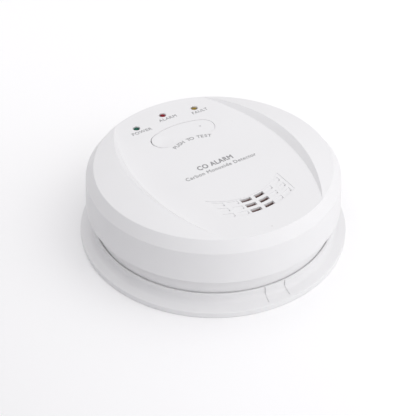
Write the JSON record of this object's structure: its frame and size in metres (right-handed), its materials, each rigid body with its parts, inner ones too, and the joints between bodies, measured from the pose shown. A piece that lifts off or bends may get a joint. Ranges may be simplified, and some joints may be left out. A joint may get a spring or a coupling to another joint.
{
  "type": "carbon monoxide detector",
  "caption": "Round white ceiling or wall carbon monoxide detector: bevelled head with domed sides, vent slits, lights and test button, on a flanged twist-lock base.",
  "frame": {"origin": "centre of the base's flat back face", "axes": "+Z out of the back face through the front face, the axis of the round body; +Y from the centre of the face towards the indicator lights; +X to the right as the lettering reads"},
  "size_m": [0.125, 0.125, 0.0395],
  "materials": {
    "white_plastic": "fine moulded texture, satin",
    "black_plastic": "moulded, matt",
    "relay_plastic": "moulded, gloss",
    "brass": "tin-free stamped brass, satin",
    "zinc_steel": "bright zinc plate",
    "board_green": "solder resist, gloss",
    "cell_grey": "moulded, satin",
    "gasket_foam": "closed-cell foam",
    "screen_black": "fine woven mesh",
    "green_lens": "tinted epoxy, gloss",
    "red_lens": "tinted epoxy, gloss",
    "amber_lens": "tinted epoxy, gloss",
    "capacitor_sleeve": "shrink sleeve, gloss",
    "label_paper": "printed film, matt"
  },
  "bodies": {
    "base": {"mounting_base": "white_plastic", "terminal_clips": "brass", "wire_clamps": "zinc_steel", "terminal_screws": "zinc_steel"},
    "head": {"front_cover": "white_plastic", "rear_housing": "white_plastic", "circuit_board": "board_green", "contact_blades": "brass", "sensor_cell": "cell_grey", "sensor_gasket": "gasket_foam", "insect_screen": "screen_black", "sounder_case": "black_plastic", "sounder_disc": "brass", "power_led": "green_lens", "alarm_led": "red_lens", "fault_led": "amber_lens", "led_spacers": "black_plastic", "relay": "relay_plastic", "controller_chip": "black_plastic", "capacitors": "capacitor_sleeve", "chip_resistors": "black_plastic", "switch_body": "black_plastic", "housing_screws": "zinc_steel", "board_screws": "zinc_steel", "hinge_pin": "zinc_steel", "rating_label": "label_paper"},
    "button": {"test_button": "white_plastic"},
    "plunger": {"switch_plunger": "black_plastic"}
  },
  "joints": [
    {"name": "head_twist", "type": "hinge", "parent": "base", "child": "head", "pos_m": [0, 0, 0.0082], "axis": [0, 0, 1], "range_deg": [0, 17]},
    {"name": "button_press", "type": "hinge", "parent": "head", "child": "button", "pos_m": [0.0145, 0.02605, 0.03155], "axis": [0, -1, 0], "range_deg": [0, 1.8]},
    {"name": "switch_press", "type": "slide", "parent": "head", "child": "plunger", "axis": [0, 0, -1], "range_m": [0, 0.0003], "stiffness_N_per_m": 5000, "springref_m": -0.0001}
  ],
  "couplings": [
    {"joint": "button_press", "follows": "switch_press", "rad_per_m": 104.7}
  ]
}
